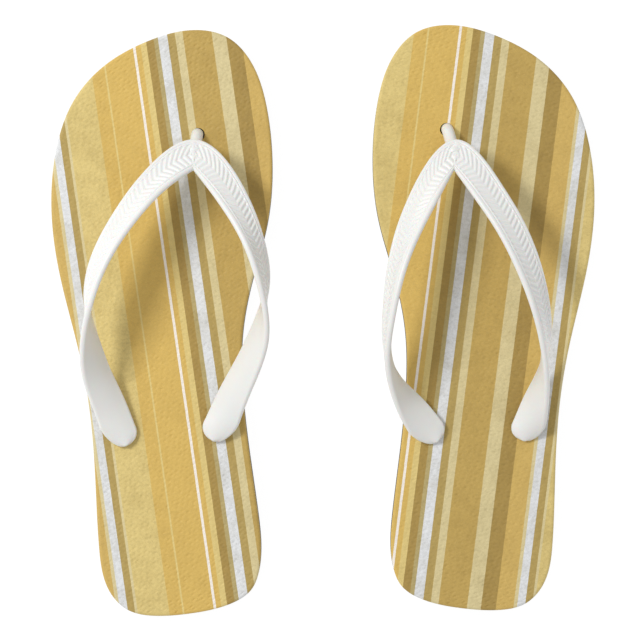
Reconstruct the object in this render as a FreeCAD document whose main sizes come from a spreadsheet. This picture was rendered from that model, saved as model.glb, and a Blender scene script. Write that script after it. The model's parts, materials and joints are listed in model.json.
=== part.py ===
import FreeCAD, Part
import math
import os

import Sketcher
from FreeCAD import Placement, Rotation, Vector

# A pair of thong sandals, left and right, lying side by side on their treads.
#
# Each sandal has its own frame: the heel's rearmost point is the origin, +Y runs to the toes,
# +Z is up, and X is measured towards the other foot (inwards) before the right one is mirrored.
# A sole is three layers: a printed footbed, a foam midsole and a rubber outsole. Each layer is
# cut at the ball of the foot, where the sole bends. The strap is one soft moulding: a twisted
# band bent into a V, a toe post under its point, a lug at each rear end and a stem with a plug
# disc under each of the three, which holds it in the sole.

# ---------------------------------------------------------------------------- driving dimensions

DIMENSIONS = (
    ("sole_length", 270),        # heel to toe
    ("footbed_thick", 3),
    ("midsole_thick", 9),
    ("outsole_thick", 4),
    ("flex_line", 178),          # where the sole bends, measured from the heel
    ("flex_gap", 0.4),           # between the heel and forefoot halves of a layer
    ("post_hole_along", 221),    # the toe post's hole
    ("post_hole_inward", 34.8),
    ("stem_radius", 2.8),        # toe post and rear stems
    ("stem_clearance", 0.35),    # around and above the stems and plugs
    ("stem_overlap", 1),         # the stems run on this far above the footbed
    ("plug_radius", 8),
    ("plug_thick", 2.6),
    ("band_width", 16.2),
    ("band_thick", 2.8),
    ("band_edge_round", 1.1),
    ("lug_radius", 7.3),
    ("lug_thick", 3),
    ("groove_width", 3),
    ("groove_depth", 1.4),
    ("groove_pitch", 12),
    ("groove_first", 14),
    ("groove_count", 21),
)

# The sole's outline, inwards and along from the heel, on a sole of OUTLINE_LENGTH.
OUTLINE_LENGTH = 270
OUTLINE = (
    (0, 0), (18, 1.6), (29.5, 7), (35.2, 18), (37.6, 40), (37.7, 70), (38.6, 98), (42.8, 127),
    (51.5, 152), (61.2, 175), (67.6, 203), (68.8, 228), (65, 250), (55, 264.3), (38, 269.9),
    (18, 267.6), (-3, 259.5), (-20.5, 244.5), (-32, 222), (-38, 193), (-38, 163), (-34.6, 130),
    (-33.4, 102), (-35.2, 70), (-38.2, 36), (-36, 15), (-29, 5.8), (-17, 1.3),
)

# Stations along each band from the outer lug over the toe post to the inner lug:
# (inwards, along, height over the footbed, lean). A lean of 0 lies flat with its patterned face
# up, 90 stands on its edge, and beyond 90 the band leans away from the foot. The two bands of a
# pair set a little differently, so each has its own list.
LEFT_BAND = (
    (-20.8, 88.5, 3, 172), (-23.2, 100.7, 6.4, 157), (-26.6, 115, 12.5, 141),
    (-27.8, 130.8, 21.5, 115), (-25.2, 149.8, 30, 80), (-16.9, 168.5, 33, 60),
    (-3.8, 185.5, 31, 50), (12.7, 201, 26, 38), (32.2, 211, 18, 27), (47.9, 187.1, 28, 38),
    (53.9, 168.2, 33, 56), (56, 146, 31.5, 78), (51.6, 126.2, 23.5, 116), (42.6, 110.2, 14, 136),
    (33.2, 96.4, 6.8, 151), (25.8, 84, 3, 172),
)
RIGHT_BAND = (
    (-20.2, 87.5, 3, 172), (-21.6, 98, 8.4, 134), (-23.2, 110, 14.5, 107),
    (-22.4, 125.6, 23.5, 80), (-17.2, 143.7, 31, 60), (-7.6, 164.4, 33, 43),
    (2.5, 180.4, 30.6, 35), (13.4, 193.8, 26.3, 29), (29.9, 208.9, 18, 27),
    (43.2, 184.8, 27, 43), (50.5, 155.2, 33, 62), (51.7, 132.2, 30.5, 76), (50, 113, 22, 91),
    (43, 98.2, 12.5, 115), (34.2, 88.6, 7, 148), (26.3, 80.3, 3, 172),
)
APEX = 8                         # the station over the toe post

# Where each sandal lies: heel position and the turn of its toe line from +Y, in degrees.
SIDES = (
    {"name": "left", "inward": 1, "heel": (-61.6, -136.9), "turn": 8.2, "band": LEFT_BAND},
    {"name": "right", "inward": -1, "heel": (65.0, -134.5), "turn": -7.2, "band": RIGHT_BAND},
)

DOC = FreeCAD.newDocument("thong_sandals")
SHEET = DOC.addObject("Spreadsheet::Sheet", "sizes")


def fill_sheet():
    for row, (alias, value) in enumerate(DIMENSIONS, start=1):
        SHEET.set(f"A{row}", alias)
        SHEET.set(f"B{row}", str(value))
        SHEET.setAlias(f"B{row}", alias)
    DOC.recompute()


def size(alias):
    return float(SHEET.get(alias))


# ---------------------------------------------------------------------------- sketch helpers

def flat_sketch(body, name, height):
    """A sketch parallel to the body's XY plane, at the height that the expression gives."""
    plane = next(f for f in body.Origin.OriginFeatures if f.Role == "XY_Plane")
    sketch = body.newObject("Sketcher::SketchObject", name)
    sketch.AttachmentSupport = (plane, [""])
    sketch.MapMode = "FlatFace"
    sketch.setExpression("AttachmentOffset.Base.z", height)
    return sketch


def bind(sketch, constraint, expression):
    index = sketch.addConstraint(constraint)
    sketch.setExpression(f"Constraints[{index}]", expression)


def add_outline(sketch, inward):
    """The sole's outline as one closed curve, at the sheet's sole length."""
    scale = size("sole_length") / OUTLINE_LENGTH
    points = [Vector(inward * x * scale, y * scale, 0) for x, y in OUTLINE]
    curve = Part.BSplineCurve()
    curve.interpolate(Points=points, PeriodicFlag=True)
    sketch.addGeometry(curve, False)


def add_circle(sketch, centre, radius):
    """A circle at a fixed centre whose radius follows the sheet."""
    circle = sketch.addGeometry(Part.Circle(Vector(*centre, 0), Vector(0, 0, 1), 1), False)
    bind(sketch, Sketcher.Constraint("Radius", circle, 1), radius)
    sketch.addConstraint(Sketcher.Constraint("DistanceX", -1, 1, circle, 3, centre[0]))
    sketch.addConstraint(Sketcher.Constraint("DistanceY", -1, 1, circle, 3, centre[1]))


def add_strip(sketch, rear, front):
    """A rectangle across the whole sole between two expressions along Y."""
    half = size("sole_length") / 2
    corners = [Vector(-half, -1, 0), Vector(half, -1, 0), Vector(half, 1, 0), Vector(-half, 1, 0)]
    sides = [Part.LineSegment(corners[i], corners[(i + 1) % 4]) for i in range(4)]
    lines = sketch.addGeometry(sides, False)
    for i in range(4):
        following = lines[(i + 1) % 4]
        sketch.addConstraint(Sketcher.Constraint("Coincident", lines[i], 2, following, 1))
    for i in (0, 2):
        sketch.addConstraint(Sketcher.Constraint("Horizontal", lines[i]))
        sketch.addConstraint(Sketcher.Constraint("Vertical", lines[i + 1]))
    sketch.addConstraint(Sketcher.Constraint("DistanceX", -1, 1, lines[0], 2, half))
    sketch.addConstraint(Sketcher.Constraint("DistanceX", lines[0], 1, -1, 1, half))
    bind(sketch, Sketcher.Constraint("DistanceY", -1, 1, lines[0], 1, -1), rear)
    bind(sketch, Sketcher.Constraint("DistanceY", -1, 1, lines[2], 1, 1), front)


def pocket(body, sketch, depth=None):
    """Cuts upwards from the sketch, right through unless a depth is given."""
    cut = body.newObject("PartDesign::Pocket", f"cut_{sketch.Name}")
    cut.Profile = sketch
    cut.Reversed = True
    if depth is None:
        cut.Type = "ThroughAll"
    else:
        cut.setExpression("Length", depth)
    return cut


# ---------------------------------------------------------------------------- sole layers

LAYERS = (
    {"name": "outsole", "bottom": "0", "thick": "sizes.outsole_thick"},
    {"name": "midsole", "bottom": "sizes.outsole_thick", "thick": "sizes.midsole_thick"},
    {"name": "footbed", "bottom": "sizes.outsole_thick + sizes.midsole_thick",
     "thick": "sizes.footbed_thick"},
)
ENDS = {
    "heel": ("sizes.flex_line - sizes.flex_gap / 2", "sizes.sole_length * 1.1"),
    "forefoot": ("-sizes.sole_length * 0.1", "sizes.flex_line + sizes.flex_gap / 2"),
}


def stem_places(side, end):
    """The centres of the strap's stems in one end of the sole, in the sandal's frame."""
    inward = side["inward"]
    if end == "forefoot":
        return [(inward * size("post_hole_inward"), size("post_hole_along"))]
    lugs = (side["band"][0], side["band"][-1])
    return [(inward * lug[0], lug[1]) for lug in lugs]


def cut_stem_holes(body, side, layer, end):
    radius = "sizes.stem_radius + sizes.stem_clearance"
    if layer["name"] == "outsole":
        radius = "sizes.plug_radius + sizes.stem_clearance"
    holes = flat_sketch(body, f"{body.Name}_holes", layer["bottom"])
    for centre in stem_places(side, end):
        add_circle(holes, centre, radius)
    return pocket(body, holes)


def cut_tread(body):
    """Grooves across the tread, repeated from heel to toe."""
    sketch = flat_sketch(body, f"{body.Name}_groove", "0")
    add_strip(sketch, "sizes.groove_first", "sizes.groove_first + sizes.groove_width")
    groove = pocket(body, sketch, "sizes.groove_depth")
    DOC.recompute()
    row = body.newObject("PartDesign::LinearPattern", f"{body.Name}_grooves")
    row.Originals = [groove]
    row.Direction = (sketch, ["V_Axis"])
    row.setExpression("Occurrences", "sizes.groove_count")
    row.setExpression("Length", "sizes.groove_pitch * (sizes.groove_count - 1)")
    body.Tip = row


def sole_piece(side, layer, end):
    """One end of one layer: the outline padded, the other end cut off, then the holes."""
    node = f"{layer['name']}_{end}_{side['name']}"
    body = DOC.addObject("PartDesign::Body", node)
    body.Label = node
    outline = flat_sketch(body, f"{node}_outline", layer["bottom"])
    add_outline(outline, side["inward"])
    slab = body.newObject("PartDesign::Pad", f"{node}_slab")
    slab.Profile = outline
    slab.setExpression("Length", layer["thick"])
    other_end = flat_sketch(body, f"{node}_other_end", layer["bottom"])
    add_strip(other_end, *ENDS[end])
    pocket(body, other_end)
    cut_stem_holes(body, side, layer, end)
    if layer["name"] == "outsole":
        cut_tread(body)
    return body


# ---------------------------------------------------------------------------- strap

def band_frames(side):
    """Centre, width direction and face normal at every station of the band."""
    inward = side["inward"]
    base = size("outsole_thick") + size("midsole_thick") + size("footbed_thick")
    centres = [Vector(inward * x, y, base + rise) for x, y, rise, lean in side["band"]]
    path = Part.BSplineCurve()
    path.interpolate(Points=centres)
    frames = []
    for centre, station in zip(centres, side["band"]):
        along = path.tangent(path.parameter(centre))[0]
        level = Vector(along.y, -along.x, 0).normalize() * inward
        lean = math.radians(station[3])
        across = level * math.cos(lean) + Vector(0, 0, 1) * math.sin(lean)
        across = (across - along * across.dot(along)).normalize()
        frames.append((centre, across, along.cross(across).normalize()))
    return frames


def band_section(centre, across, face):
    """A flat oblong with rounded corners: four straight sides joined by quarter circles."""
    half_width = size("band_width") / 2
    half_thick = size("band_thick") / 2
    corner = size("band_edge_round")
    edges = []
    for turn in range(4):
        quarter = math.pi / 2 * turn
        sign_w = 1 if turn in (0, 3) else -1
        sign_t = 1 if turn in (0, 1) else -1
        mid_w = sign_w * (half_width - corner)
        mid_t = sign_t * (half_thick - corner)
        arc = []
        for step in (0, 0.5, 1):
            angle = quarter + math.pi / 2 * step
            w = mid_w + corner * math.cos(angle)
            t = mid_t + corner * math.sin(angle)
            arc.append(centre + across * w + face * t)
        edges.append(arc)
    wire = []
    for i, arc in enumerate(edges):
        wire.append(Part.Arc(*arc).toShape())
        wire.append(Part.LineSegment(arc[2], edges[(i + 1) % 4][0]).toShape())
    return Part.Wire(wire)


def band(side):
    """The twisted V band, lofted through its stations from lug to lug."""
    sections = [band_section(*frame) for frame in band_frames(side)]
    feature = DOC.addObject("Part::Feature", f"band_{side['name']}")
    feature.Shape = Part.makeLoft(sections, True, False)
    return feature


def rod(name, radius, length, place):
    """A round rod on its own axis, its sizes bound to the sheet."""
    cylinder = DOC.addObject("Part::Cylinder", name)
    cylinder.setExpression("Radius", radius)
    cylinder.setExpression("Height", length)
    cylinder.Placement = place
    return cylinder


def stem_and_plug(side, name, centre):
    """The round stem through the sole, with the plug disc that stops it pulling out."""
    x, y = centre
    plug_bottom = size("outsole_thick") - size("stem_clearance") - size("plug_thick")
    at_plug = Placement(Vector(x, y, plug_bottom), Rotation())
    stem_length = (
        "sizes.plug_thick + sizes.stem_clearance + sizes.midsole_thick + sizes.footbed_thick"
        " + sizes.stem_overlap"
    )
    return [
        rod(f"{name}_stem", "sizes.stem_radius", stem_length, at_plug),
        rod(f"{name}_plug", "sizes.plug_radius", "sizes.plug_thick", at_plug),
    ]


def toe_post(side):
    """The leaning post from the footbed's hole up to the band's point, with a ball at its foot."""
    base = size("outsole_thick") + size("midsole_thick") + size("footbed_thick")
    x, y = stem_places(side, "forefoot")[0]
    foot = Vector(x, y, base + size("stem_overlap"))
    apex = side["band"][APEX]
    head = Vector(side["inward"] * apex[0], apex[1], base + apex[2])
    lean = Placement(foot, Rotation(Vector(0, 0, 1), head - foot))
    post = DOC.addObject("Part::Cylinder", f"post_{side['name']}")
    post.setExpression("Radius", "sizes.stem_radius")
    post.Height = (head - foot).Length
    post.Placement = lean
    ball = DOC.addObject("Part::Sphere", f"post_foot_{side['name']}")
    ball.setExpression("Radius", "sizes.stem_radius")
    ball.Placement = Placement(foot, Rotation())
    return [post, ball]


def strap(side):
    """The strap's one moulding, fused from its band, post, lugs, stems and plugs."""
    name = side["name"]
    base = size("outsole_thick") + size("midsole_thick") + size("footbed_thick")
    pieces = [band(side)] + toe_post(side)
    pieces += stem_and_plug(side, f"toe_{name}", stem_places(side, "forefoot")[0])
    for label, centre in zip(("outer", "inner"), stem_places(side, "heel")):
        pieces += stem_and_plug(side, f"{label}_{name}", centre)
        lug_place = Placement(Vector(*centre, base), Rotation())
        pieces.append(rod(f"{label}_lug_{name}", "sizes.lug_radius", "sizes.lug_thick", lug_place))
    fused = DOC.addObject("Part::MultiFuse", f"strap_{name}")
    fused.Label = f"strap_{name}"
    fused.Shapes = pieces
    fused.Refine = True
    return fused


# ---------------------------------------------------------------------------- pair and export

def build_pair():
    nodes = []
    for side in SIDES:
        pieces = [sole_piece(side, layer, end) for layer in LAYERS for end in ENDS]
        pieces.append(strap(side))
        place = Placement(Vector(*side["heel"], 0), Rotation(Vector(0, 0, 1), side["turn"]))
        for piece in pieces:
            piece.Placement = place
        nodes += pieces
    DOC.recompute()
    return nodes


def check(nodes):
    for item in DOC.Objects:
        if "Invalid" in item.State or "Error" in item.State:
            raise RuntimeError(f"{item.Label} failed: {item.State}")
    for node in nodes:
        if node.Shape.isNull() or not node.Shape.isValid() or len(node.Shape.Solids) != 1:
            raise RuntimeError(f"{node.Label} isn't one valid solid")


def export(nodes):
    os.makedirs("parts", exist_ok=True)
    for node in nodes:
        node.Shape.exportStep(f"parts/{node.Label}.step")
        box = node.Shape.BoundBox
        print(f"{node.Label}: {node.Shape.Volume:.0f} mm3, x {box.XMin:.1f}..{box.XMax:.1f}, "
              f"y {box.YMin:.1f}..{box.YMax:.1f}, z {box.ZMin:.1f}..{box.ZMax:.1f}")


fill_sheet()
NODES = build_pair()
check(NODES)
export(NODES)
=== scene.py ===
import json
import math

import bmesh
import bpy
import numpy as np
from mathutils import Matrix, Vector


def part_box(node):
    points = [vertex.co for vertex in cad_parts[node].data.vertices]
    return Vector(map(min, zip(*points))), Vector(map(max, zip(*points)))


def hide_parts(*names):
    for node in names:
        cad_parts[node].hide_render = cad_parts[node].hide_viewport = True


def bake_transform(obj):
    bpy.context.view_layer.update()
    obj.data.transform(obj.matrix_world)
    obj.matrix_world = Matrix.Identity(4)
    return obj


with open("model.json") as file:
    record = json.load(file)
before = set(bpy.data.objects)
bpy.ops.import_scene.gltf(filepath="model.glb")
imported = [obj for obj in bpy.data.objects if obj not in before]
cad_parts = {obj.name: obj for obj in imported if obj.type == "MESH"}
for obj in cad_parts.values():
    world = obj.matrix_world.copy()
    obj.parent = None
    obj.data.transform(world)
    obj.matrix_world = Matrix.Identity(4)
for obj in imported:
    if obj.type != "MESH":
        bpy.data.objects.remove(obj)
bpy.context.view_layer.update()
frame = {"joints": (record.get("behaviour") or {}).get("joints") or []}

# The looks of a pair of thong sandals. Each sandal has its own frame, in metres: the heel's
# rearmost point is the origin, +Y runs to the toes, +Z is up, and X is measured inwards, towards
# the other foot. Every layer of a sole is one continuous sheet, whole across the sole's hinge.

MM = 0.001

# ---------------------------------------------------------------------------- shape of a sandal

FLEX_LINE = 178 * MM           # the hinge, measured from the heel

# The sole's outline, inwards and along from the heel, in millimetres.
OUTLINE = (
    (0, 0), (18, 1.6), (29.5, 7), (35.2, 18), (37.6, 40), (37.7, 70), (38.6, 98), (42.8, 127),
    (51.5, 152), (61.2, 175), (67.6, 203), (68.8, 228), (65, 250), (55, 264.3), (38, 269.9),
    (18, 267.6), (-3, 259.5), (-20.5, 244.5), (-32, 222), (-38, 193), (-38, 163), (-34.6, 130),
    (-33.4, 102), (-35.2, 70), (-38.2, 36), (-36, 15), (-29, 5.8), (-17, 1.3),
)
TOE_TIP = 14                   # the outline point at the toes, where its inner half ends

# Stations along each band, from the outer lug over the toe post to the inner lug:
# (inwards, along, height over the footbed, lean), in millimetres and degrees.
LEFT_BAND = (
    (-20.8, 88.5, 3, 172), (-23.2, 100.7, 6.4, 157), (-26.6, 115, 12.5, 141),
    (-27.8, 130.8, 21.5, 115), (-25.2, 149.8, 30, 80), (-16.9, 168.5, 33, 60),
    (-3.8, 185.5, 31, 50), (12.7, 201, 26, 38), (32.2, 211, 18, 27), (47.9, 187.1, 28, 38),
    (53.9, 168.2, 33, 56), (56, 146, 31.5, 78), (51.6, 126.2, 23.5, 116), (42.6, 110.2, 14, 136),
    (33.2, 96.4, 6.8, 151), (25.8, 84, 3, 172),
)
RIGHT_BAND = (
    (-20.2, 87.5, 3, 172), (-21.6, 98, 8.4, 134), (-23.2, 110, 14.5, 107),
    (-22.4, 125.6, 23.5, 80), (-17.2, 143.7, 31, 60), (-7.6, 164.4, 33, 43),
    (2.5, 180.4, 30.6, 35), (13.4, 193.8, 26.3, 29), (29.9, 208.9, 18, 27),
    (43.2, 184.8, 27, 43), (50.5, 155.2, 33, 62), (51.7, 132.2, 30.5, 76), (50, 113, 22, 91),
    (43, 98.2, 12.5, 115), (34.2, 88.6, 7, 148), (26.3, 80.3, 3, 172),
)
APEX = 8                       # the station over the toe post
POST_HOLE = (34.8 * MM, 221 * MM)

BAND_WIDTH = 16.2 * MM
BAND_THICK = 2.8 * MM
LUG_RADIUS = 7.3 * MM
STEM_RADIUS = 2.8 * MM
STEM_CLEARANCE = 0.35 * MM
HOLE_SHIFT = 0.3 * MM          # each stem leans on the outer side of its hole
PLUG_RADIUS = 8 * MM
PLUG_THICK = 2.6 * MM

# The inks of the footbed's print, as display red, green and blue.
GOLD = (222, 186, 97)
DEEP_GOLD = (214, 180, 98)
PALE_GOLD = (228, 204, 130)
OCHRE = (198, 166, 87)
BRONZE = (174, 144, 72)
OLIVE = (186, 160, 90)
KHAKI = (188, 170, 114)
SAND = (224, 208, 156)
CREAM = (250, 242, 232)
WHITE = (234, 236, 238)

# The print, repeated every PRINT_PERIOD: each stripe's first edge in millimetres, its ink, and
# how blotchy it is.
PRINT_PERIOD = 104
STRIPES = (
    (0, PALE_GOLD, 0.7), (14.5, GOLD, 0.4), (20.5, PALE_GOLD, 0.1), (21.5, GOLD, 0.3),
    (35.1, CREAM, 0.1), (36.4, GOLD, 0.3), (39, PALE_GOLD, 0.3), (41.5, BRONZE, 0.5),
    (45.5, KHAKI, 0.6), (47.5, WHITE, 0.8), (52, OLIVE, 0.5), (55.5, SAND, 0.5),
    (59, OCHRE, 0.5), (72.5, SAND, 0.6), (79, BRONZE, 0.6), (86, DEEP_GOLD, 0.4),
    (94, SAND, 0.3), (95.5, WHITE, 0.8), (99.5, OLIVE, 0.5), (102.5, SAND, 0.3),
)


def side_frame(name, inward, band, print_start):
    """One sandal's own frame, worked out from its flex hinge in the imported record."""
    joint = next(j for j in frame["joints"] if j["name"] == f"{name}_sole_flex")
    right = Vector(joint["axis"]).normalized()
    along = Vector((0, 0, 1)).cross(right)
    hinge = Vector(joint["pos_m"])
    heel = hinge - along * FLEX_LINE
    heel.z = 0
    return {
        "name": name, "sign": inward, "band": band, "print_start": print_start,
        "inward": right * inward, "along": along, "heel": heel, "top": hinge.z,
    }


SIDES = (
    side_frame("left", 1, LEFT_BAND, -24.5),
    side_frame("right", -1, RIGHT_BAND, -70.5),
)
MIDSOLE_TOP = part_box("midsole_heel_left")[1].z
OUTSOLE_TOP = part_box("outsole_heel_left")[1].z
FOOTBED_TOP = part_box("footbed_heel_left")[1].z


def to_row(side, points):
    """Points of a sandal's own frame, as rows of an array, in the shared frame."""
    axes = np.array([side["inward"], side["along"], (0, 0, 1)], float)
    return np.asarray(points, float) @ axes + np.array(side["heel"], float)


# ---------------------------------------------------------------------------- curves

def slopes(points, knots, closed):
    """The derivative at each point of the smooth cubic curve through them all."""
    count = len(points)
    steps = np.diff(knots)
    matrix = np.zeros((count, count))
    right = np.zeros((count, points.shape[1]))
    for i in range(count):
        if not closed and i in (0, count - 1):
            other = 1 if i == 0 else count - 2
            matrix[i, i] = 2
            matrix[i, other] = 1
            right[i] = 3 * (points[other] - points[i]) / (knots[other] - knots[i])
            continue
        before, after = steps[i - 1], steps[i]
        matrix[i, i - 1] += after
        matrix[i, i] += 2 * (before + after)
        matrix[i, (i + 1) % count] += before
        rise_before = (points[i] - points[i - 1]) / before
        rise_after = (points[(i + 1) % count] - points[i]) / after
        right[i] = 3 * (after * rise_before + before * rise_after)
    return np.linalg.solve(matrix, right)


class Curve:
    """A smooth cubic curve through points, read by its distance along their chords."""

    def __init__(self, points, closed=False):
        self.points = np.asarray(points, float)
        ends = np.vstack([self.points, self.points[:1]]) if closed else self.points
        self.knots = np.r_[0, np.cumsum(np.linalg.norm(np.diff(ends, axis=0), axis=1))]
        inner = slopes(self.points, self.knots, closed)
        self.ends = ends
        self.inner = np.vstack([inner, inner[:1]]) if closed else inner

    def at(self, where):
        where = np.clip(np.atleast_1d(where), 0, self.knots[-1])
        i = np.clip(np.searchsorted(self.knots, where, side="right") - 1, 0, len(self.knots) - 2)
        step = (self.knots[i + 1] - self.knots[i])[:, None]
        t = (where - self.knots[i])[:, None] / step
        start, end = self.ends[i], self.ends[i + 1]
        pull_start, pull_end = self.inner[i] * step, self.inner[i + 1] * step
        return (
            start * (2 * t**3 - 3 * t**2 + 1) + pull_start * (t**3 - 2 * t**2 + t)
            + end * (3 * t**2 - 2 * t**3) + pull_end * (t**3 - t**2)
        )


def unit(vectors):
    return vectors / np.linalg.norm(vectors, axis=-1, keepdims=True)


def smooth_step(value, low, high):
    t = np.clip((value - low) / (high - low), 0, 1)
    return t * t * (3 - 2 * t)


# ---------------------------------------------------------------------------- mesh helpers

def make_mesh(name, vertices, faces, side=None):
    """A mesh object from points of a sandal's own frame, or of the shared one without a side."""
    vertices = np.asarray(vertices, float)
    placed = to_row(side, vertices) if side else vertices
    mesh = bpy.data.meshes.new(name)
    mesh.from_pydata(placed.tolist(), [], faces)
    if side and side["sign"] < 0:
        mesh.flip_normals()
    mesh.update()
    made = bpy.data.objects.new(name, mesh)
    bpy.context.scene.collection.objects.link(made)
    return made


def keep_rest_place(made, side):
    """Stores where each point lies in the sandal's own frame, so materials stay with the piece."""
    axes = np.array([side["inward"], side["along"], (0, 0, 1)], float)
    count = len(made.data.vertices)
    places = np.zeros(count * 3, np.float32)
    made.data.vertices.foreach_get("co", places)
    local = (places.reshape(-1, 3) - np.array(side["heel"], float)) @ axes.T
    local[:, 0] *= side["sign"]
    layer = made.data.attributes.new("rest_place", "FLOAT_VECTOR", "POINT")
    layer.data.foreach_set("vector", local.astype(np.float32).ravel())


def shade(made, angle=35):
    made.data.shade_smooth()
    made.data.set_sharp_from_angle(angle=math.radians(angle))


def combine(base, tools, operation):
    """Applies boolean modifiers to base with each tool, then removes the tools."""
    for tool in tools:
        modifier = base.modifiers.new("combine", "BOOLEAN")
        modifier.operation = operation
        modifier.solver = "EXACT"
        modifier.object = tool
    graph = bpy.context.evaluated_depsgraph_get()
    result = bpy.data.meshes.new_from_object(base.evaluated_get(graph))
    base.modifiers.clear()
    base.data = result
    for tool in tools:
        bpy.data.objects.remove(tool)


def tidy_mesh(made):
    """Welds doubled points and drops slivers, so the mesh stays one closed skin."""
    work = bmesh.new()
    work.from_mesh(made.data)
    bmesh.ops.remove_doubles(work, verts=work.verts, dist=0.01 * MM)
    bmesh.ops.recalc_face_normals(work, faces=work.faces)
    work.to_mesh(made.data)
    work.free()


def tube(name, side, centres, radii, around=32):
    """A closed round tube through centres, with a radius at each."""
    centres = np.asarray(centres, float)
    radii = np.asarray(radii, float)
    heading = unit(np.gradient(centres, axis=0))
    first = unit(np.cross(heading, (1.0, 0.0, 0.0)))
    second = np.cross(heading, first)
    angles = np.linspace(0, 2 * math.pi, around, endpoint=False)
    rings = (
        centres[:, None] + radii[:, None, None]
        * (first[:, None] * np.cos(angles)[:, None] + second[:, None] * np.sin(angles)[:, None])
    )
    return make_mesh(name, rings.reshape(-1, 3), ring_faces(len(centres), around), side)


def ring_faces(rings, around):
    """Quads between successive rings, and a cap at each end."""
    faces = [list(range(around))[::-1]]
    for i in range(rings - 1):
        low, high = i * around, (i + 1) * around
        for j in range(around):
            k = (j + 1) % around
            faces.append([low + j, low + k, high + k, high + j])
    last = (rings - 1) * around
    faces.append([last + j for j in range(around)])
    return faces


# ---------------------------------------------------------------------------- sole layers

OUTLINE_CURVE = Curve(np.array(OUTLINE) * MM, closed=True)
OUTLINE_SAMPLES = 4000         # close points that the even distances are read from
FOOTBED_GRID = (760, 200)      # rows along the sole and points across it
MIDSOLE_GRID = (260, 24)
OUTSOLE_GRID = (640, 60)
RELIEF_FADE = (0.2 * MM, 1.6 * MM)


def half_outline(first, last, count):
    """Points at even distances between two knots of the outline, with their inward normals."""
    dense = np.linspace(first, last, OUTLINE_SAMPLES)
    points = OUTLINE_CURVE.at(dense)
    length = np.r_[0, np.cumsum(np.linalg.norm(np.diff(points, axis=0), axis=1))]
    where = np.interp(np.linspace(0, length[-1], count), length, dense)
    points = OUTLINE_CURVE.at(where)
    nudge = 0.05 * MM
    ahead = OUTLINE_CURVE.at((where + nudge) % OUTLINE_CURVE.knots[-1])
    behind = OUTLINE_CURVE.at((where - nudge) % OUTLINE_CURVE.knots[-1])
    heading = unit(ahead - behind)
    return points, np.stack([-heading[:, 1], heading[:, 0]], axis=1)


def cap_grid(inner, outer, columns, height, relief):
    """Rows of points from the outer to the inner edge, where the relief fades out to nothing."""
    share = np.linspace(0, 1, columns + 2)[1:-1]
    grid = outer[1:-1, None] * (1 - share)[:, None] + inner[1:-1, None] * share[:, None]
    flat = grid.reshape(-1, 2)
    edge = np.minimum(share, 1 - share)[None] * np.linalg.norm(inner - outer, axis=1)[1:-1, None]
    fade = smooth_step(edge.ravel(), *RELIEF_FADE)
    z = height + relief(flat[:, 0], flat[:, 1]) * fade
    return np.column_stack([flat, z])


def sole_sheet(name, side, rim, grid, top_relief, bottom_relief):
    """A closed sheet in the sole's outline. rim lists (inset, height) from top to bottom."""
    rows, columns = grid
    toe = OUTLINE_CURVE.knots[TOE_TIP]
    inner, inner_normal = half_outline(0, toe, rows)
    outer, outer_normal = half_outline(toe, OUTLINE_CURVE.knots[-1], rows)
    outer, outer_normal = outer[::-1], outer_normal[::-1]
    around = 2 * rows - 2
    vertices, faces = [], []
    for inset, height in rim:
        ring_inner = inner + inner_normal * inset
        ring_outer = outer + outer_normal * inset
        ring = np.vstack([ring_inner, ring_outer[1:-1][::-1]])
        vertices.append(np.column_stack([ring, np.full(around, height)]))
    for level in range(len(rim) - 1):
        upper, lower = level * around, (level + 1) * around
        for j in range(around):
            k = (j + 1) % around
            faces.append([lower + j, lower + k, upper + k, upper + j])
    start = len(rim) * around
    for level, relief, flip in ((0, top_relief, False), (len(rim) - 1, bottom_relief, True)):
        inset, height = rim[level]
        low_inner = inner + inner_normal * inset
        low_outer = outer + outer_normal * inset
        vertices.append(cap_grid(low_inner, low_outer, columns, height, relief))
        faces += cap_faces(level * around, start, rows, columns, around, flip)
        start += (rows - 2) * columns
    return make_mesh(name, np.vstack(vertices), faces, side)


def cap_faces(ring, start, rows, columns, around, flip):
    """Faces between the rows of a cap, joined to the ring of points round its edge."""
    lines = []
    for i in range(1, rows - 1):
        middle = [start + (i - 1) * columns + j for j in range(columns)]
        lines.append([ring + around - i] + middle + [ring + i])
    faces = []
    for near, far in zip(lines, lines[1:]):
        for j in range(len(near) - 1):
            faces.append([near[j], near[j + 1], far[j + 1], far[j]])
    heel, toe = ring, ring + rows - 1
    for j in range(len(lines[0]) - 1):
        faces.append([heel, lines[0][j + 1], lines[0][j]])
        faces.append([toe, lines[-1][j], lines[-1][j + 1]])
    return [face[::-1] for face in faces] if flip else faces


def no_relief(x, y):
    return np.zeros_like(x)


GRAIN_LONG = 3.4 * MM          # from one dash to the next, end to end
GRAIN_SIDE = 1.85 * MM         # from one row of dashes to the next
GRAIN_DEPTH = 0.3 * MM
GRAIN_TURN = math.radians(27)  # the dashes are turned this far from straight across
DASH_LONG = 0.52               # half a dash, as a share of half its cell
DASH_WIDE = 0.45


def scatter(number):
    """A steady share between 0 and 1 that looks random from one number to the next."""
    return np.modf(np.abs(np.sin(number * 12.9898) * 43758.5453))[0]


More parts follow.
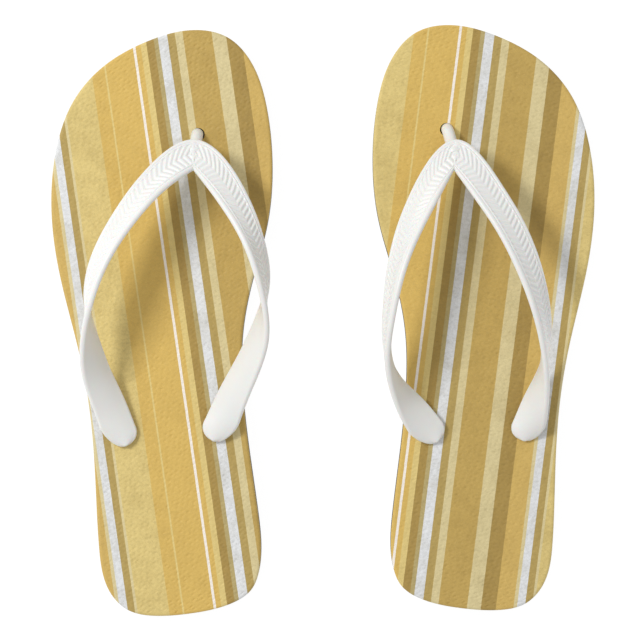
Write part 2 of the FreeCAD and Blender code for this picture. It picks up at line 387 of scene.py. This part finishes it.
def grain(x, y):
    """Short moulded dashes on a slant, each moved and sunk a little differently."""
    lengthwise = (x * math.cos(GRAIN_TURN) + y * math.sin(GRAIN_TURN)) / GRAIN_LONG
    sideways = (y * math.cos(GRAIN_TURN) - x * math.sin(GRAIN_TURN)) / GRAIN_SIDE
    row = np.floor(sideways)
    lengthwise = lengthwise + 0.5 * (row % 2) + 0.35 * scatter(row)
    cell = np.floor(lengthwise)
    number = cell * 7.1 + row * 113.3
    from_middle = 2 * (lengthwise - cell) - 1 + 0.8 * (scatter(number) - 0.5)
    from_row = 2 * (sideways - row) - 1 + 0.8 * (scatter(number + 5) - 0.5)
    dash = np.exp(-np.abs(from_middle / DASH_LONG) ** 3 - np.abs(from_row / DASH_WIDE) ** 2.5)
    return -GRAIN_DEPTH * dash * (0.25 + 0.75 * scatter(number + 9))


GROOVE_FIRST = 14 * MM
GROOVE_PITCH = 12 * MM
GROOVE_WIDTH = 3 * MM
GROOVE_DEPTH = 1.4 * MM
GROOVE_WALL = 0.35 * MM        # a groove's wall leans over twice this much
RIB_PITCH = 4 * MM             # fine wavy ribs on the lands between the grooves
RIB_SWING = 1.2 * MM
RIB_LENGTH = 15 * MM
RIB_HEIGHT = 0.12 * MM


def tread(x, y):
    """Cross grooves under the outsole, between flat lands with a fine wavy rib."""
    phase = (y - GROOVE_FIRST) % GROOVE_PITCH
    entry = smooth_step(phase, -GROOVE_WALL, GROOVE_WALL)
    leave = smooth_step(phase, GROOVE_WIDTH - GROOVE_WALL, GROOVE_WIDTH + GROOVE_WALL)
    first = smooth_step(y, GROOVE_FIRST - GROOVE_WALL, GROOVE_FIRST)
    inside = entry * (1 - leave) * first
    wavy = x + RIB_SWING * np.sin(2 * math.pi * y / RIB_LENGTH)
    rib = 0.5 + 0.5 * np.sin(2 * math.pi * wavy / RIB_PITCH)
    return inside * GROOVE_DEPTH + (1 - inside) * RIB_HEIGHT * rib


CUT_PAST = 5 * MM              # a hole's cutter reaches this far past the layer it cuts
HOLE_SIDES = 48


def hole_cutter(side, centre, radius, low, high):
    x, y = centre[0] + HOLE_SHIFT, centre[1]
    ends = [(x, y, low), (x, y, high)]
    return tube("hole_cutter", side, ends, [radius, radius], HOLE_SIDES)


def stem_centres(side):
    """Where the three stems go through the sole: the toe post's, the outer and the inner."""
    ends = (side["band"][0], side["band"][-1])
    return [POST_HOLE] + [(end[0] * MM, end[1] * MM) for end in ends]


def finish_layer(made, side, radius, low, high, material):
    """Cuts the stem holes, then shades the layer and gives it its material."""
    span = (low - CUT_PAST, high + CUT_PAST)
    cutters = [hole_cutter(side, centre, radius, *span) for centre in stem_centres(side)]
    combine(made, cutters, "DIFFERENCE")
    finish_piece(made, side, material)


def finish_piece(made, side, material):
    """Shades a piece, stores where its points rest in the sandal's frame, and gives it its
    material.
    """
    shade(made)
    keep_rest_place(made, side)
    made.data.materials.clear()
    made.data.materials.append(material)
    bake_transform(made)


def make_footbed(side, material):
    top, bottom = FOOTBED_TOP, MIDSOLE_TOP
    rim = ((1.1 * MM, top), (0.55 * MM, top - 0.15 * MM), (0.15 * MM, top - 0.55 * MM),
           (0, top - 1.1 * MM), (0, bottom))

    def relief(x, y):
        return grain(x * side["sign"], y)

    made = sole_sheet(f"footbed_sheet_{side['name']}", side, rim, FOOTBED_GRID, relief, no_relief)
    radius = STEM_RADIUS + STEM_CLEARANCE
    finish_layer(made, side, radius, bottom, top, material)
    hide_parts(f"footbed_heel_{side['name']}", f"footbed_forefoot_{side['name']}")
    return made


def make_midsole(side, material):
    top, bottom = MIDSOLE_TOP, OUTSOLE_TOP
    rim = ((0.35 * MM, top), (0.1 * MM, top - 0.5 * MM), (0, (top + bottom) / 2),
           (0.1 * MM, bottom + 0.5 * MM), (0.35 * MM, bottom))
    made = sole_sheet(f"midsole_core_{side['name']}", side, rim, MIDSOLE_GRID, no_relief,
                      no_relief)
    radius = STEM_RADIUS + STEM_CLEARANCE
    finish_layer(made, side, radius, bottom, top, material)
    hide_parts(f"midsole_heel_{side['name']}", f"midsole_forefoot_{side['name']}")
    return made


def make_outsole(side, material):
    top, bottom = OUTSOLE_TOP, 0
    rim = ((0.2 * MM, top), (0, top - 0.4 * MM), (0, bottom + 0.8 * MM),
           (0.25 * MM, bottom + 0.2 * MM), (0.8 * MM, bottom))
    made = sole_sheet(f"outsole_tread_{side['name']}", side, rim, OUTSOLE_GRID, no_relief, tread)
    radius = PLUG_RADIUS + STEM_CLEARANCE
    finish_layer(made, side, radius, bottom, top, material)
    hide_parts(f"outsole_heel_{side['name']}", f"outsole_forefoot_{side['name']}")
    return made


# ---------------------------------------------------------------------------- strap

LINE_INSET = 2.2 * MM          # a fine line pressed along each edge of the band
LINE_WIDTH = 0.25 * MM
LINE_DEPTH = 0.3 * MM
FIELD_INSET = 3.2 * MM         # where the sunk, patterned field starts
FIELD_DEPTH = 0.6 * MM
RIDGE_PITCH = 2.9 * MM
RIDGE_HEIGHT = 0.5 * MM
RIDGE_SLANT = 0.7              # how far a ridge runs to the toes for each step off the middle
FOLD_CLEAR = (0.3 * MM, 0.9 * MM)      # the pattern starts this far from the fold
FIELD_END = (98 * MM, 104 * MM)        # and fades out over this stretch of each arm
RING_STEP = 0.3 * MM
FOLD_ROUND = 8                 # rings on each side that a ring's face is averaged with
TIP_STEP = 0.02 * MM           # the first rings at a tip are this close, then ever wider apart
TIP_FOOT_SIDE = 7 * MM         # the tip's rounding on its side towards the middle of the sole
TIP_RIM_SIDE = 14 * MM         # and on its side towards the sole's rim
RIM_FULLNESS = 1.7             # the rim side's curve, where 2 is part of an ellipse
EDGE_ROUND = 1.3 * MM
CROWN = 0.25 * MM              # the smooth back bulges by this much
REAR_CROWN = 0.9 * MM          # and by this much more at the rear
REAR_SPAN = (80 * MM, 115 * MM)
FACE_POINTS = 64
BACK_POINTS = 14
EDGE_POINTS = 7


def band_edges(side):
    """The lower and upper edge of the band at each station, in the sandal's own frame."""
    stations = np.array(side["band"], float)
    centres = stations[:, :3] * MM
    centres[:, 2] += FOOTBED_TOP
    curve = Curve(centres)
    knots = curve.knots
    heading = unit(curve.at(knots + 0.1 * MM) - curve.at(knots - 0.1 * MM))
    level = unit(np.column_stack([heading[:, 1], -heading[:, 0], np.zeros(len(centres))]))
    lean = np.radians(stations[:, 3])[:, None]
    across = level * np.cos(lean) + np.array([0, 0, 1.0]) * np.sin(lean)
    across = unit(across - heading * np.sum(across * heading, axis=1)[:, None])
    half = BAND_WIDTH / 2
    return centres - across * half, centres + across * half


def extend(points, distance):
    """The points with one more beyond each end, straight on."""
    first = points[0] + unit(points[0] - points[1]) * distance
    last = points[-1] + unit(points[-1] - points[-2]) * distance
    return np.vstack([first, points, last])


def ring_spread(length):
    """Where rings lie from tip to fold, as shares of the length: close together at the tip."""
    near = TIP_STEP * np.arange(RING_STEP / (2 * TIP_STEP)) ** 2
    count = int(round((length - near[-1]) / RING_STEP))
    return np.r_[near[:-1], np.linspace(near[-1], length, count)] / length


def band_rails(side):
    """Rows of points along both edges of the band: smooth round the nose, folded at the crotch."""
    lower, upper = band_edges(side)
    lower, upper = extend(lower, LUG_RADIUS), extend(upper, LUG_RADIUS)
    apex = APEX + 1
    rails = []
    for part in (slice(0, apex + 1), slice(apex, None)):
        middle = Curve((lower[part] + upper[part]) / 2)
        spread = ring_spread(middle.knots[-1])
        if part.start:
            spread = 1 - spread[::-1]
        stations = np.arange(len(lower))[part]
        low_curve, up_curve = Curve(lower), Curve(upper[part])
        station = np.interp(spread, middle.knots / middle.knots[-1], stations)
        low_at = np.interp(station, np.arange(len(lower)), low_curve.knots)
        up_at = np.interp(station, stations, up_curve.knots)
        rails.append((low_curve.at(low_at), up_curve.at(up_at)))
    return rails


def herringbone(offset, distance, half):
    """Height of the patterned face below its rims. offset is from the band's middle line."""
    inset = half - np.abs(offset)
    field = smooth_step(inset, FIELD_INSET - LINE_WIDTH, FIELD_INSET + LINE_WIDTH)
    line = np.exp(-((inset - LINE_INSET) / LINE_WIDTH) ** 2)
    wave = (distance + RIDGE_SLANT * np.abs(offset)) / RIDGE_PITCH
    ridge = 0.5 - 0.5 * np.cos(2 * math.pi * wave)
    inside = -FIELD_DEPTH + RIDGE_HEIGHT * ridge**0.8
    past_fold = smooth_step(distance, *FOLD_CLEAR)
    before_end = 1 - smooth_step(distance, *FIELD_END)
    return (inside * field - LINE_DEPTH * line) * past_fold * before_end


def taper(from_tip, reach, fullness=2.0):
    """The share of its full size that a rounded end has, at distances from its tip."""
    short = np.clip(1 - from_tip / reach, 0, 1)
    return (1 - short**fullness) ** (1 / fullness)


def soften(rows):
    """Every row averaged with its neighbours, so the fold is a small round, not a crease."""
    weights = np.hanning(2 * FOLD_ROUND + 3)[1:-1]
    padded = np.pad(rows, ((FOLD_ROUND, FOLD_ROUND), (0, 0)), mode="edge")
    return sum(weight * padded[k:k + len(rows)] for k, weight in enumerate(weights))


def band_rings(side):
    """Every ring of points round the band, from the outer tip over the fold to the inner tip."""
    rails = band_rails(side)
    lower = np.vstack([rails[0][0], rails[1][0][1:]])
    upper = np.vstack([rails[0][1], rails[1][1][1:]])
    fold = len(rails[0][0]) - 1
    middle = (lower + upper) / 2
    run = np.r_[0, np.cumsum(np.linalg.norm(np.diff(middle, axis=0), axis=1))]
    across = unit(upper - lower)
    heading = np.gradient(middle, axis=0)
    face = soften(unit(np.cross(across, heading)))
    face = unit(face - across * np.sum(face * across, axis=1)[:, None])
    from_tip = np.minimum(run, run[-1] - run) + TIP_STEP
    full = np.linalg.norm(upper - lower, axis=1) / 2
    foot_side = full * taper(from_tip, TIP_FOOT_SIDE)
    rim_side = full * taper(from_tip, TIP_RIM_SIDE, RIM_FULLNESS)
    middle = middle + across * ((rim_side - foot_side) / 2)[:, None]
    half = (rim_side + foot_side) / 2
    thick = BAND_THICK / 2 * taper(from_tip, BAND_THICK / 2)
    distance = np.abs(run - run[fold])
    return [
        ring(middle[i], across[i], face[i], half[i], thick[i], distance[i])
        for i in range(len(middle))
    ]


def ring(middle, across, face, half, thick, distance):
    """One ring: the patterned face, a rounded edge, the smooth back and the other edge."""
    round_edge = min(EDGE_ROUND, 0.8 * half)
    flat = half - round_edge
    front = np.linspace(-flat, flat, FACE_POINTS)
    lift = herringbone(front, distance, half)
    back = np.linspace(flat, -flat, BACK_POINTS)
    turn = np.linspace(math.pi / 2, -math.pi / 2, EDGE_POINTS + 2)[1:-1]
    rear = smooth_step(distance, *REAR_SPAN)
    crown = (CROWN + REAR_CROWN * rear) * (1 - (back / flat) ** 2) * thick / (BAND_THICK / 2)
    offsets = np.r_[front, flat + round_edge * np.cos(turn), back,
                    -flat - round_edge * np.cos(turn[::-1])]
    heights = np.r_[thick + lift, thick * np.sin(turn), -thick - crown,
                    thick * np.sin(turn[::-1])]
    return middle + offsets[:, None] * across + heights[:, None] * face


def make_band(side):
    rings = np.array(band_rings(side))
    around = rings.shape[1]
    return make_mesh(f"strap_moulding_{side['name']}", rings.reshape(-1, 3),
                     ring_faces(len(rings), around), side)


POST_HEAD = (0, -0.5 * MM, -1.2 * MM)  # the post's head, from the middle of the band's point
POST_FLARE = 1.2 * MM
POST_RINGS = 40


def toe_post(side):
    """The leaning toe post, straight in the sole and flared where it meets the band's point."""
    apex = np.array(side["band"][APEX][:3]) * MM
    x, y = POST_HOLE
    head = apex + (0, 0, FOOTBED_TOP) + POST_HEAD
    foot = np.array([x, y, FOOTBED_TOP])
    lean = head - foot
    route = Curve([(x, y, OUTSOLE_TOP - 1.5 * MM), (x, y, MIDSOLE_TOP - 3 * MM),
                   foot + (0, 0, 0.5 * MM), foot + lean * 0.35, foot + lean * 0.7, head])
    steps = np.linspace(0, route.knots[-1], POST_RINGS)
    rise = steps / route.knots[-1]
    flare = smooth_step(rise, 0.78, 0.95) * smooth_step(rise, 1.02, 0.97)
    return tube("post", side, route.at(steps), STEM_RADIUS + POST_FLARE * flare)


def plug(side, centre):
    """The disc under a stem, with an eased rim and a shallow dish."""
    top = OUTSOLE_TOP - STEM_CLEARANCE
    low = top - PLUG_THICK
    dish = low + 0.35 * MM
    middle = 0.05 * MM
    profile = ((middle, dish), (5.2 * MM, dish), (6 * MM, low), (7.4 * MM, low),
               (PLUG_RADIUS, low + 0.6 * MM), (PLUG_RADIUS, top - 0.5 * MM),
               (PLUG_RADIUS - 0.4 * MM, top), (middle, top))
    return lathe("plug", side, centre, profile)


def lathe(name, side, centre, profile, around=HOLE_SIDES):
    """A closed turned shape from (radius, height) pairs, bottom to top."""
    angles = np.linspace(0, 2 * math.pi, around, endpoint=False)
    rings = [
        np.column_stack([centre[0] + radius * np.cos(angles), centre[1] + radius * np.sin(angles),
                         np.full(around, height)])
        for radius, height in profile
    ]
    return make_mesh(name, np.vstack(rings), ring_faces(len(rings), around), side)


LUG_FOOT = 5.2 * MM            # the radius of the foot that a band's end stands on


def stem_and_lug(side, centre):
    """The stem through the sole, with the lug's foot that the band's end stands on."""
    profile = ((STEM_RADIUS, OUTSOLE_TOP - 1 * MM), (STEM_RADIUS, FOOTBED_TOP),
               (LUG_FOOT, FOOTBED_TOP), (LUG_FOOT + 0.4 * MM, FOOTBED_TOP + 0.5 * MM),
               (LUG_FOOT, FOOTBED_TOP + 2.4 * MM))
    return lathe("lug", side, centre, profile)


def make_strap(side, material):
    """The strap's one moulding: band, post, lugs, stems and plugs joined into one skin."""
    made = make_band(side)
    outer_lug, inner_lug = stem_centres(side)[1:]
    parts = [toe_post(side), stem_and_lug(side, outer_lug), stem_and_lug(side, inner_lug)]
    parts += [plug(side, centre) for centre in stem_centres(side)]
    combine(made, parts, "UNION")
    tidy_mesh(made)
    finish_piece(made, side, material)
    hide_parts(f"strap_{side['name']}")
    return made


# ---------------------------------------------------------------------------- materials

def linear(colour):
    """Display red, green and blue from 0 to 255, as a shader takes them."""
    shares = [c / 255 for c in colour]
    parts = [s / 12.92 if s <= 0.04045 else ((s + 0.055) / 1.055) ** 2.4 for s in shares]
    return (*parts, 1.0)


class Nodes:
    """Short calls for building one material's node tree."""

    def __init__(self, name):
        self.material = bpy.data.materials.new(name)
        self.material.use_nodes = True
        self.tree = self.material.node_tree
        self.shader = self.tree.nodes["Principled BSDF"]

    def add(self, kind, inputs=(), **settings):
        node = self.tree.nodes.new(kind)
        for key, value in settings.items():
            setattr(node, key, value)
        for key, value in dict(inputs).items():
            self.feed(node.inputs[key], value)
        return node

    def feed(self, socket, value):
        if isinstance(value, bpy.types.NodeSocket):
            self.tree.links.new(value, socket)
        else:
            socket.default_value = value

    def maths(self, operation, first, second=0.0):
        node = self.add("ShaderNodeMath", operation=operation)
        self.feed(node.inputs[0], first)
        self.feed(node.inputs[1], second)
        return node.outputs[0]

    def noise(self, place, scale, detail=4.0, rough=0.55):
        node = self.add("ShaderNodeTexNoise",
                        {"Vector": place, "Scale": scale, "Detail": detail, "Roughness": rough})
        return node.outputs["Fac"]

    def spread(self, value, low, high, to_low=0.0, to_high=1.0):
        node = self.add("ShaderNodeMapRange", {
            "Value": value, "From Min": low, "From Max": high,
            "To Min": to_low, "To Max": to_high})
        return node.outputs["Result"]

    def mix(self, share, first, second, blend="MIX"):
        node = self.add("ShaderNodeMix", data_type="RGBA", blend_type=blend)
        self.feed(node.inputs["Factor"], share)
        self.feed(node.inputs["A"], first)
        self.feed(node.inputs["B"], second)
        return node.outputs["Result"]

    def bump(self, height, strength, distance):
        node = self.add("ShaderNodeBump", {
            "Height": height, "Strength": strength, "Distance": distance})
        self.tree.links.new(node.outputs["Normal"], self.shader.inputs["Normal"])


def rest_place(nodes):
    return nodes.add("ShaderNodeAttribute", attribute_name="rest_place").outputs["Vector"]


def stripe_ramp(nodes, where):
    """Hard-edged stripes over one period; the ramp's alpha holds how blotchy each stripe is."""
    ramp = nodes.add("ShaderNodeValToRGB", {"Fac": where})
    ramp.color_ramp.interpolation = "CONSTANT"
    stops = ramp.color_ramp.elements
    for number, (start, colour, blotch) in enumerate(STRIPES):
        stop = stops[number] if number < 2 else stops.new(start / PRINT_PERIOD)
        stop.position = start / PRINT_PERIOD
        stop.color = (*linear(colour)[:3], blotch)
    return ramp.outputs["Color"], ramp.outputs["Alpha"]


STAIN = (176, 166, 128)
SPECK = (150, 152, 146)
FINE_GRAIN = (120, 96, 52)


def print_material(side):
    """The printed foam skin: stripes along the sole, blotched like an old print."""
    nodes = Nodes(f"striped_print_{side['name']}")
    place = rest_place(nodes)
    parts = nodes.add("ShaderNodeSeparateXYZ", {"Vector": place}).outputs
    wobble = nodes.spread(nodes.noise(place, 420.0, 2.0), 0.3, 0.7, -0.04, 0.04)
    across = nodes.maths("ADD", nodes.maths("MULTIPLY", parts["X"], 1000.0), wobble)
    phase = nodes.maths("SUBTRACT", across, float(side["print_start"]))
    period = nodes.maths("DIVIDE", phase, float(PRINT_PERIOD))
    colour, blotchy = stripe_ramp(nodes, nodes.maths("FRACT", period))
    clouds = nodes.spread(nodes.noise(place, 95.0, 6.0, 0.68), 0.42, 0.68)
    specks = nodes.spread(nodes.noise(place, 700.0, 3.0, 0.7), 0.46, 0.7)
    stain = nodes.maths("MULTIPLY", nodes.maths("MULTIPLY", clouds, 0.38), blotchy)
    speck = nodes.maths("MULTIPLY", nodes.maths("MULTIPLY", specks, 0.30), blotchy)
    toned = nodes.mix(stain, colour, linear(STAIN), "MULTIPLY")
    speckled = nodes.mix(speck, toned, linear(SPECK), "MULTIPLY")
    fine = nodes.spread(nodes.noise(place, 2200.0, 2.0), 0.3, 0.7, 0.0, 0.16)
    final = nodes.mix(fine, speckled, linear(FINE_GRAIN))
    nodes.feed(nodes.shader.inputs["Base Color"], final)
    rough = nodes.spread(nodes.noise(place, 900.0, 3.0), 0.3, 0.7, 0.55, 0.72)
    nodes.feed(nodes.shader.inputs["Roughness"], rough)
    nodes.shader.inputs["Specular IOR Level"].default_value = 0.5
    nodes.bump(nodes.noise(place, 1500.0, 3.0), 0.25, 0.0002)
    return nodes.material


def foam_material():
    """Dark foam with closed pores, seen on the sole's edge."""
    nodes = Nodes("dark_foam")
    place = rest_place(nodes)
    pores = nodes.add("ShaderNodeTexVoronoi", {"Vector": place, "Scale": 900.0})
    dots = nodes.spread(pores.outputs["Distance"], 0.1, 0.5)
    tone = nodes.mix(dots, linear((24, 22, 20)), linear((52, 48, 43)))
    dust = nodes.spread(nodes.noise(place, 60.0, 5.0), 0.45, 0.8, 0.0, 0.25)
    nodes.feed(nodes.shader.inputs["Base Color"], nodes.mix(dust, tone, linear((90, 84, 74))))
    nodes.feed(nodes.shader.inputs["Roughness"], nodes.spread(dots, 0.0, 1.0, 0.9, 0.75))
    nodes.shader.inputs["Specular IOR Level"].default_value = 0.25
    nodes.bump(dots, 0.5, 0.0003)
    return nodes.material


def rubber_material():
    """Black tread rubber with a faint moulding haze."""
    nodes = Nodes("tread_rubber")
    place = rest_place(nodes)
    haze = nodes.spread(nodes.noise(place, 130.0, 5.0), 0.4, 0.75, 0.0, 0.4)
    tone = nodes.mix(haze, linear((26, 25, 24)), linear((56, 54, 51)))
    nodes.feed(nodes.shader.inputs["Base Color"], tone)
    grit = nodes.noise(place, 1600.0, 4.0)
    nodes.feed(nodes.shader.inputs["Roughness"], nodes.spread(grit, 0.3, 0.7, 0.55, 0.75))
    nodes.shader.inputs["Specular IOR Level"].default_value = 0.4
    nodes.bump(grit, 0.3, 0.0002)
    return nodes.material


def vinyl_material():
    """Soft white vinyl: satin, a little cloudy, with a very fine moulded skin."""
    nodes = Nodes("white_vinyl")
    place = rest_place(nodes)
    cloud = nodes.spread(nodes.noise(place, 45.0, 4.0), 0.35, 0.75, 0.0, 0.5)
    tone = nodes.mix(cloud, linear((235, 235, 232)), linear((227, 228, 227)))
    nodes.feed(nodes.shader.inputs["Base Color"], tone)
    skin = nodes.noise(place, 2600.0, 3.0)
    nodes.feed(nodes.shader.inputs["Roughness"], nodes.spread(skin, 0.3, 0.7, 0.34, 0.46))
    nodes.shader.inputs["Specular IOR Level"].default_value = 0.45
    nodes.shader.inputs["Subsurface Weight"].default_value = 0.12
    nodes.shader.inputs["Subsurface Scale"].default_value = 0.002
    nodes.bump(skin, 0.12, 0.0001)
    return nodes.material


# ---------------------------------------------------------------------------- studio

FLOOR_REACH = 3.0
KEY_PLACE = (-0.95, 0.5, 1.35)
KEY_WIDTH = 0.4
KEY_POWER = 15
WORLD_GLOW = 0.6
VIEW_WIDTH = 0.3008            # what the picture takes in, at the footbed's height
VIEW_CENTRE = (-0.0004, -0.0007)
LENS = 210                     # in millimetres, like the sensor
SENSOR = 36


def make_floor():
    """A plain white floor that glows a little, so shadows on it stay pale."""
    corners = [(x * FLOOR_REACH, y * FLOOR_REACH, 0)
               for x, y in ((-1, -1), (1, -1), (1, 1), (-1, 1))]
    floor = make_mesh("floor", corners, [[0, 1, 2, 3]])
    nodes = Nodes("floor_paper")
    nodes.shader.inputs["Base Color"].default_value = (0.15, 0.15, 0.15, 1)
    nodes.shader.inputs["Roughness"].default_value = 0.95
    nodes.shader.inputs["Specular IOR Level"].default_value = 0.0
    nodes.shader.inputs["Emission Color"].default_value = (1, 1, 1, 1)
    nodes.shader.inputs["Emission Strength"].default_value = 0.94
    floor.data.materials.append(nodes.material)


def make_light(name, place, aim, width, power):
    data = bpy.data.lights.new(name, "AREA")
    data.shape = "SQUARE"
    data.size = width
    data.energy = power
    light = bpy.data.objects.new(name, data)
    light.location = place
    light.rotation_mode = "QUATERNION"
    light.rotation_quaternion = (Vector(aim) - Vector(place)).to_track_quat("-Z", "Y")
    bpy.context.scene.collection.objects.link(light)


def make_studio():
    world = bpy.data.worlds.new("studio")
    world.use_nodes = True
    background = world.node_tree.nodes["Background"]
    background.inputs["Color"].default_value = (1, 1, 1, 1)
    background.inputs["Strength"].default_value = WORLD_GLOW
    bpy.context.scene.world = world
    make_light("key", KEY_PLACE, (0, 0, 0), KEY_WIDTH, KEY_POWER)
    bpy.context.scene.view_settings.view_transform = "Standard"


def make_camera():
    """Straight above the pair, with a long lens."""
    data = bpy.data.cameras.new("camera")
    data.lens = LENS
    data.sensor_width = SENSOR
    camera = bpy.data.objects.new("camera", data)
    distance = VIEW_WIDTH * LENS / SENSOR
    camera.location = (*VIEW_CENTRE, FOOTBED_TOP + distance)
    data.clip_end = distance * 3
    bpy.context.scene.collection.objects.link(camera)
    bpy.context.scene.camera = camera


# ---------------------------------------------------------------------------- the pair

def make_sandal(side, foam, rubber, vinyl):
    make_footbed(side, print_material(side))
    make_midsole(side, foam)
    make_outsole(side, rubber)
    make_strap(side, vinyl)


def make_pair():
    foam = foam_material()
    rubber = rubber_material()
    vinyl = vinyl_material()
    for side in SIDES:
        make_sandal(side, foam, rubber, vinyl)


make_pair()
make_floor()
make_studio()
make_camera()
